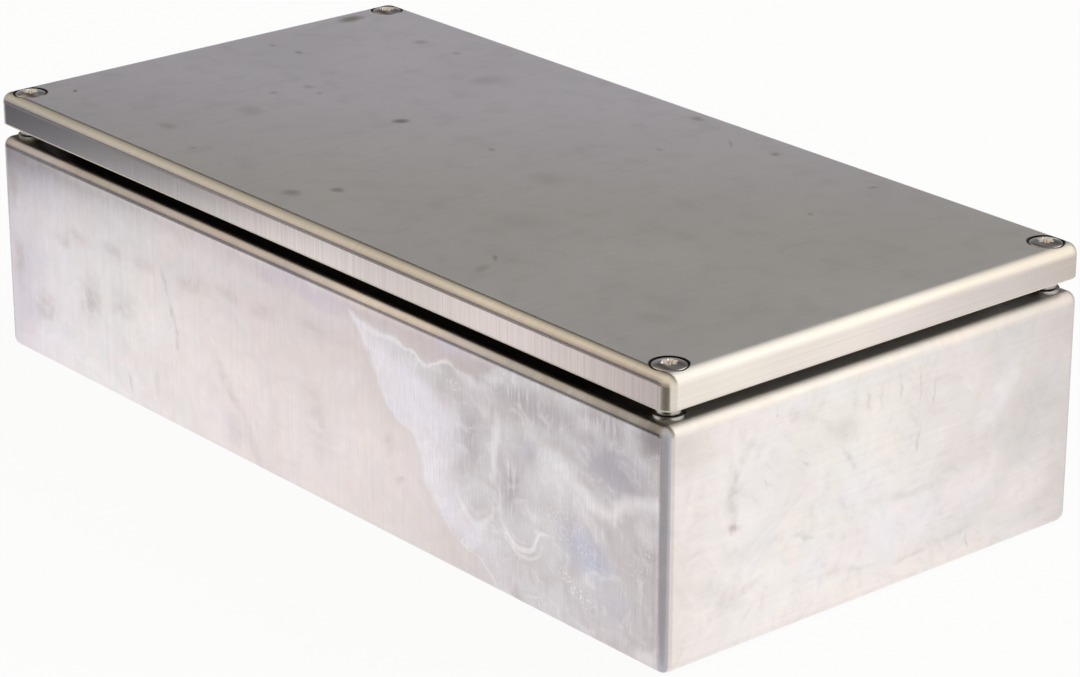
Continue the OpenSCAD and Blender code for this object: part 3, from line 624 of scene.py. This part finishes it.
for tone in ("lilac", "pink", "yellow", "grey", "brown"):
    share = ovalMarks(add, uneven, shortStains[tone + "Marks"])
    if tone in ("grey", "brown"):
        share = add("Math", share, torn, **times)
    shortColour = add("Mix", share, shortColour, shortStains[tone], **paint)
wisps = add("MapRange", swirl, *shortStains["wisps"], **soft)
upward = toneAlong(add, side["Y"], shortStains["upward"])
shortColour = add("VectorMath", shortColour, upward, **times)
shortColour = add("Mix", wisps, shortColour, shortStains["grey"], **paint)

# each face takes its own stains, then come the painted highlights of the bends, the painted shade of the
# gutter, the welds along the upright corners with their partly painted shade, and clouds over all of it
frontOn = add("MapRange", facing["Y"], *tubFinish["frontFrom"])
rightOn = add("MapRange", facing["X"], *tubFinish["rightFrom"])
colour = add("Mix", frontOn, tubFinish["plain"], longColour, **paint)
colour = add("Mix", rightOn, colour, shortColour, **paint)
# painted highlight on the short side's bend, by its tones along y
bent = add("MapRange", facing["X"], *tubFinish["bendTurn"])
bendOn = within(add, bent, spots["Z"], tubFinish["bendFrom"])
colour = add("Mix", bendOn, colour, toneAlong(add, spots["Y"], tubFinish["bend"]), **paint)
# painted highlight and shade on the long side's bend, by its tones along x
longBendLight = toneAlong(add, spots["X"], tubFinish["longBend"])
longBendLight = add("VectorMath", longBendLight, tubFinish["longLift"], operation="SCALE")
longBendLight = add("VectorMath", colour, longBendLight, **times)
bent = add("MapRange", facing["Y"], *tubFinish["longTurn"])
bendOn = within(add, bent, spots["Z"], tubFinish["longFrom"])
colour = add("Mix", bendOn, colour, longBendLight, **paint)
# painted shade on the flat rim under the lid
onRim = add("Math", spots["Z"], tubFinish["gutterFrom"], operation="GREATER_THAN")
gutterShaded = within(add, onRim, facing["Z"], tubFinish["gutterFlat"])
colour = add("Mix", gutterShaded, colour, tubFinish["gutterShade"], **paint)
# ground welds up the upright corners, matt; their bluish grey tone is also painted shade of the corners
fromMiddle = add("Math", spots["X"], operation="ABSOLUTE")
nearCorner = add("MapRange", fromMiddle, *tubFinish["weldFrom"])
sideOn = add("Math", facing["Y"], operation="ABSOLUTE")
weldAndShade = within(add, nearCorner, sideOn, tubFinish["weldTurn"])
colour = add("Mix", weldAndShade, colour, tubFinish["weldAndShade"], **paint)
hueShare = add("MapRange", hue, *tubFinish["hueFrom"])
tint = add("Mix", hueShare, tubFinish["rosy"], tubFinish["cold"], **paint)
colour = add("VectorMath", colour, tint, **times)
for noise, key in ((cloud, "cloudTone"), (swirl, "swirlTone"), (mottle, "mottleTone")):
    shade = add("MapRange", noise, *tubFinish["cloudFrom"], *tubFinish[key])
    colour = add("VectorMath", colour, shade, operation="SCALE")
metal = add("MapRange", weldAndShade, 0.0, 1.0, 1.0, tubFinish["weldMetal"])
sheetShader(add, colour, facing, scratch, across, tubFinish["contrast"], metal)

# turned stainless: bright, with fine rings left by the tool
turnedFinish = {
    "steel": "#b9b5b1", "gloss": (0.18, 0.4),
    "rings": (120, 120, 2500),  # waves to the metre
}
turned, add = emptyMaterial("turned stainless")
place = add("TexCoord").outputs["Object"]
rings = add("VectorMath", place, turnedFinish["rings"], **times)
rings = add("TexNoise", rings, 1.0, 1.0)
gloss = add("MapRange", rings, 0.0, 1.0, *turnedFinish["gloss"])
steel = {"Base Color": turnedFinish["steel"], "Metallic": 1.0, "Roughness": gloss}
add("OutputMaterial", add("BsdfPrincipled", named=steel))

# cold headed stainless of the lid screws: smooth and bright, brown dirt in the recess
screwFinish = {
    "steel": "#e2deda", "dirt": "#a5703a", "gloss": (0.1, 0.25),
    "dirtFrom": (0.0816, 0.0804),  # metres, heights where the dirt begins and is full
    "speck": 0.35,  # mm
    "speckFrom": (0.47, 0.57),
}
headSteel, add = emptyMaterial("cold headed stainless")
place = add("TexCoord").outputs["Object"]
level = add("SeparateXYZ", place).outputs["Z"]
deep = add("MapRange", level, *screwFinish["dirtFrom"])
specks = add("TexNoise", place, 1000 / screwFinish["speck"], 2.0)
dirt = within(add, deep, specks, screwFinish["speckFrom"])
tone = add("Mix", dirt, screwFinish["steel"], screwFinish["dirt"], **paint)
gloss = add("MapRange", specks, 0.0, 1.0, *screwFinish["gloss"])
metal = add("Math", 1.0, dirt, operation="SUBTRACT")
steel = {"Base Color": tone, "Metallic": metal, "Roughness": gloss}
add("OutputMaterial", add("BsdfPrincipled", named=steel))

# zinc plated rail: pale bluish passivated steel with faint yellow clouds and drawing lines along it
railFinish = {
    "blue": "#c9ced3", "yellow": "#d6d2bd", "gloss": (0.25, 0.45),
    "cloud": 14.0, "line": (1000 / 12, 0.35),  # mm, the lines by length and width
    "cloudFrom": (0.4, 0.7),
    "relief": 0.2, "reliefHigh": 0.00005,  # strength, and height in metres
}
zinc, add = emptyMaterial("zinc plated strip")
place = add("TexCoord").outputs["Object"]
clouds = add("TexNoise", place, 1000 / railFinish["cloud"], 3.0)
share = add("MapRange", clouds, *railFinish["cloudFrom"])
tone = add("Mix", share, railFinish["blue"], railFinish["yellow"], **paint)
slow, fine = [1000 / size for size in railFinish["line"]]
drawn = add("VectorMath", place, (slow, fine, fine), **times)
drawn = add("TexNoise", drawn, 1.0, 2.0)
gloss = add("MapRange", drawn, 0.0, 1.0, *railFinish["gloss"])
relief = add("Bump", railFinish["relief"], railFinish["reliefHigh"], named={"Height": drawn})
steel = {"Base Color": tone, "Metallic": 1.0, "Roughness": gloss, "Normal": relief}
add("OutputMaterial", add("BsdfPrincipled", named=steel))

# black foam rubber: dead matt with small open pores
foamFinish = {
    "pit": "#141313", "skin": "#232121", "roughness": 0.85,
    "pore": 0.6,  # mm
    "relief": 0.5, "reliefHigh": 0.0002,  # strength, and height in metres
}
foam, add = emptyMaterial("black foam rubber")
place = add("TexCoord").outputs["Object"]
pores = add("TexVoronoi", place, 1000 / foamFinish["pore"])
relief = add("Bump", foamFinish["relief"], foamFinish["reliefHigh"], named={"Height": pores})
tone = add("Mix", pores, foamFinish["pit"], foamFinish["skin"], **paint)
rubber = {"Base Color": tone, "Roughness": foamFinish["roughness"], "Normal": relief}
add("OutputMaterial", add("BsdfPrincipled", named=rubber))
print("materials made")


# puts rows of points in mm into a mesh: columns close round, rows close into a ring or end in one point each;
# the sum of the signed volumes under the faces tells whether they look outwards
def roundPiece(name, rows, poles=None, sharpFrom=38):
    count, around = rows.shape[:2]
    points = rows.reshape(-1, 3)
    index = np.arange(count * around).reshape(count, around)
    right = np.roll(index, -1, axis=1)
    fans = np.empty((0, 3), int)
    if poles is None:
        upper, upperRight = index, right
        lower, lowerRight = np.roll(index, -1, axis=0), np.roll(right, -1, axis=0)
    else:
        upper, upperRight, lower, lowerRight = index[:-1], right[:-1], index[1:], right[1:]
        first, last = len(points), len(points) + 1
        points = np.vstack([points, poles])
        fans = np.vstack([np.stack([np.full(around, first), index[0], right[0]], -1),
                          np.stack([np.full(around, last), right[-1], index[-1]], -1)])
    quads = np.stack([upper, lower, lowerRight, upperRight], -1).reshape(-1, 4)
    triangles = np.vstack([quads[:, [0, 1, 2]], quads[:, [0, 2, 3]], fans])
    a, b, c = (points[triangles[:, k]] - points.mean(0) for k in range(3))
    if np.einsum("ij,ij->i", a, np.cross(b, c)).sum() < 0:
        quads, fans = quads[:, ::-1], fans[:, ::-1]
    mesh = bpy.data.meshes.new(name)
    mesh.from_pydata((points * 0.001).tolist(), [], quads.tolist() + fans.tolist())
    mesh.polygons.foreach_set("use_smooth", np.ones(len(mesh.polygons), bool))
    mesh.set_sharp_from_angle(angle=math.radians(sharpFrom))
    piece = bpy.data.objects.new(name, mesh)
    bpy.context.collection.objects.link(piece)
    return piece


# rows of a turned shape: the section gives radius and height of each row, or of a few rows, for all angles
def turnedRows(section, turns, centre):
    radius, level = [np.vstack([turns * 0 + part for part in column]) for column in zip(*section)]
    return np.stack([centre[0] + radius * np.cos(turns), centre[1] + radius * np.sin(turns), level], -1)


# screw thread: the radius rises and falls once per pitch and once per turn, flattened at crest and root,
# and runs out over half a pitch at both ends
def threadRadius(level, turns, low, high, crest, depth, pitch, flat=0.12):
    wave = np.abs(2 * np.mod(level / pitch - turns / (2 * np.pi), 1) - 1)
    ridge = np.clip((wave - flat) / (1 - 2 * flat), 0, 1)
    runOut = np.clip(np.minimum(level - low, high - level) / (0.5 * pitch), 0, 1)
    return crest - depth + depth * ridge * runOut


# raised countersunk lid screw with six lobe recess, waisted shank and thread, sizes and heights in mm
screwShape = {
    "head": 4.65, "edge": 81.3, "edgeThick": 0.28, "rim": 0.4, "dome": 0.8,
    "recess": 1.985, "lobe": 0.265, "recessDeep": 1.9, "recessTip": 0.2, "taper": 0.6, "chamfer": 0.1,
    "cone": 2.65, "waist": 2.0, "fillet": 0.25, "filletLow": 0.2,
    "threadTop": 68.7, "runIn": 0.05, "tip": 63.7, "tipChamfer": 0.6,
    "thread": 2.475, "depth": 0.42, "pitch": 0.8,
    "around": 96, "capRows": 9, "rimRows": 6, "coilRows": 12,
    "turned": {"front_right": 9, "front_left": 33, "back_right": 21, "back_left": 47},  # degrees, as tightened
}


# recess edge is a circle with six waves; the dome is a ball cap of given height over the head, and its rim
# turns down in part of a circle; below come cone, waist, thread and chamfered tip
def makeScrew(corner, centre):
    s = SimpleNamespace(**screwShape)
    turns = np.linspace(0, 2 * np.pi, s.around, endpoint=False)
    lobes = s.recess + s.lobe * np.cos(6 * (turns - math.radians(s.turned[corner])))
    ball = (s.head ** 2 + s.dome ** 2) / (2 * s.dome)
    crown = s.edge + s.dome
    cap = lambda r: crown - ball + np.sqrt(ball ** 2 - r ** 2)
    share = np.linspace(0, 1, s.capRows)[:, None]
    tilt = math.asin(s.head / ball)  # of the dome at its rim
    capRadius = (lobes + s.chamfer) * (1 - share) + (s.head - s.rim * (1 - math.sin(tilt))) * share
    rimTurn = np.linspace(tilt, np.pi / 2, s.rimRows)[1:, None]
    under = s.edge - s.edgeThick
    coils = np.arange(s.threadTop, s.tip + s.tipChamfer, -s.pitch / s.coilRows)[:, None]
    section = [
        (lobes * s.taper * 0.5, crown - s.recessDeep - s.recessTip * 0.5),
        (lobes * s.taper, crown - s.recessDeep),
        (lobes, cap(lobes) - s.chamfer),
        (capRadius, cap(capRadius)),
        (s.head - s.rim * (1 - np.sin(rimTurn)), under + s.rim * np.cos(rimTurn)),
        (s.waist + s.fillet, under - s.cone + s.fillet),
        (s.waist, under - s.cone - s.filletLow),
        (s.waist, s.threadTop + s.runIn),
        (threadRadius(coils, turns, s.tip, s.threadTop, s.thread, s.depth, s.pitch), coils),
        (s.thread - s.tipChamfer, s.tip)]
    poles = [(*centre, crown - s.recessDeep - s.recessTip), (*centre, s.tip)]
    return roundPiece("countersunk_screw_" + corner, turnedRows(section, turns, centre), poles)


# retaining collar: a ring whose section has small rounded edges, sizes and heights in mm
collarShape = {
    "outside": 3.5, "bore": 2.03, "low": 68.9, "high": 73.2, "round": 0.15, "around": 72, "edgeRows": 5,
}


# section goes round its four corners, each a quarter circle in steps
def makeCollar(corner, centre):
    s = SimpleNamespace(**collarShape)
    turns = np.linspace(0, 2 * np.pi, s.around, endpoint=False)
    quarter = np.linspace(0, np.pi / 2, s.edgeRows)[:, None]
    inner, outer, low, high = s.bore + s.round, s.outside - s.round, s.low + s.round, s.high - s.round
    section = [(r + s.round * np.cos(quarter + k * np.pi / 2), z + s.round * np.sin(quarter + k * np.pi / 2))
               for k, (r, z) in enumerate(((outer, high), (inner, high), (inner, low), (outer, low)))]
    return roundPiece("retaining_collar_" + corner, turnedRows(section, turns, centre))


# earth stud: welded foot, thread and chamfered tip, upright on the floor or hanging from the lid, in mm
studShape = {
    "at": (-120.0, 0.0),
    "foot": 3.75, "footHigh": 0.8, "footEdge": 0.25,
    "thread": 2.95, "depth": 0.55, "pitch": 1.0, "chamfer": 0.7,
    "around": 72, "coilRows": 12,
    "ends": {"earth_stud": (1.5, 19.5), "lid_earth_stud": (80.0, 65.0)},  # heights of foot and tip
}


# section goes from the foot to the tip, upwards or downwards
def makeStud(node):
    s = SimpleNamespace(**studShape)
    base, tip = s.ends[node]
    way = 1 if tip > base else -1
    turns = np.linspace(0, 2 * np.pi, s.around, endpoint=False)
    start, end = base + way * s.footHigh, tip - way * s.chamfer
    coils = np.arange(start, end, way * s.pitch / s.coilRows)[:, None]
    thread = threadRadius(coils, turns, min(start, tip), max(start, tip), s.thread, s.depth, s.pitch)
    section = [(s.foot, base), (s.foot, start - way * s.footEdge), (s.foot - s.footEdge, start),
               (thread, coils), (s.thread - s.chamfer, tip)]
    return roundPiece(node + "_threaded", turnedRows(section, turns, s.at), [(*s.at, base), (*s.at, tip)])


# foam seal: a section with flat top and rounded underside carried along a rounded rectangle, in mm
sealShape = {
    "half": (134.25, 59.25), "corner": 4.7, "wide": 9.0, "top": 80.0, "shoulder": 2.0,
    "low": 72.3, "round": 2.4, "dent": 0.35, "dentHalf": 1.6, "edgeRows": 7, "dentRows": 9, "bendRows": 9,
}


# section: a flat top, two sides, quarter circles below, and a shallow dent where the lip presses
def makeSeal():
    s = SimpleNamespace(**sealShape)
    quarter = np.linspace(0, np.pi / 2, s.edgeRows)
    half = s.wide / 2
    edge = half - s.round + s.round * np.cos(quarter)
    edgeLevel = s.low + s.round - s.round * np.sin(quarter)
    dent = np.linspace(-np.pi / 2, np.pi / 2, s.dentRows)
    offset = np.concatenate([[half, half], edge, np.linspace(s.dentHalf, -s.dentHalf, s.dentRows),
                             -edge[::-1], [-half, -half]])
    level = np.concatenate([[s.top, s.top - s.shoulder], edgeLevel, s.low + s.dent * np.cos(dent) ** 2,
                            edgeLevel[::-1], [s.top - s.shoulder, s.top]])
    bends = np.linspace(0, np.pi / 2, s.bendRows)
    angle = np.concatenate([bends + k * np.pi / 2 for k in range(4)])
    middles = np.array([(1, 1), (-1, 1), (-1, -1), (1, -1)]) * (np.array(s.half) - s.corner)
    out = np.stack([np.cos(angle), np.sin(angle)], -1)
    flat = np.repeat(middles, len(bends), axis=0) + out * s.corner
    rows = np.concatenate([flat[None] + offset[:, None, None] * out[None],
                           np.broadcast_to(level[:, None, None], (len(level), len(angle), 1))], -1)
    return roundPiece("foam_seal_bead", rows)


corners = {"front_right": (1, -1), "front_left": (-1, -1), "back_right": (1, 1), "back_left": (-1, 1)}
made = []
for corner, (sx, sy) in corners.items():
    centre = (sx * lidFinish["screwAt"][0], sy * lidFinish["screwAt"][1])
    made.append((makeScrew(corner, centre), "screw_" + corner, "screw_" + corner, "screw_steel", headSteel))
    made.append((makeCollar(corner, centre), "collar_" + corner, "collar_" + corner, "collar_steel", turned))
for node, body in (("earth_stud", "box"), ("lid_earth_stud", "lid")):
    made.append((makeStud(node), node, body, "fastener_steel", turned))
made.append((makeSeal(), "foam_seal", "lid", "seal_foam", foam))
for piece, node, body, slot, finish in made:
    piece.data.materials.append(finish)
    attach(piece, body)
    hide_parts(node)
print("pieces made,", len(made))

finishes = {"box_body": tubSteel, "lid_pan": lidSteel, "foam_seal": foam, "terminal_rail": zinc}
for name, node in nodes.items():
    node.material_slots[0].material = finishes.get(name, turned)
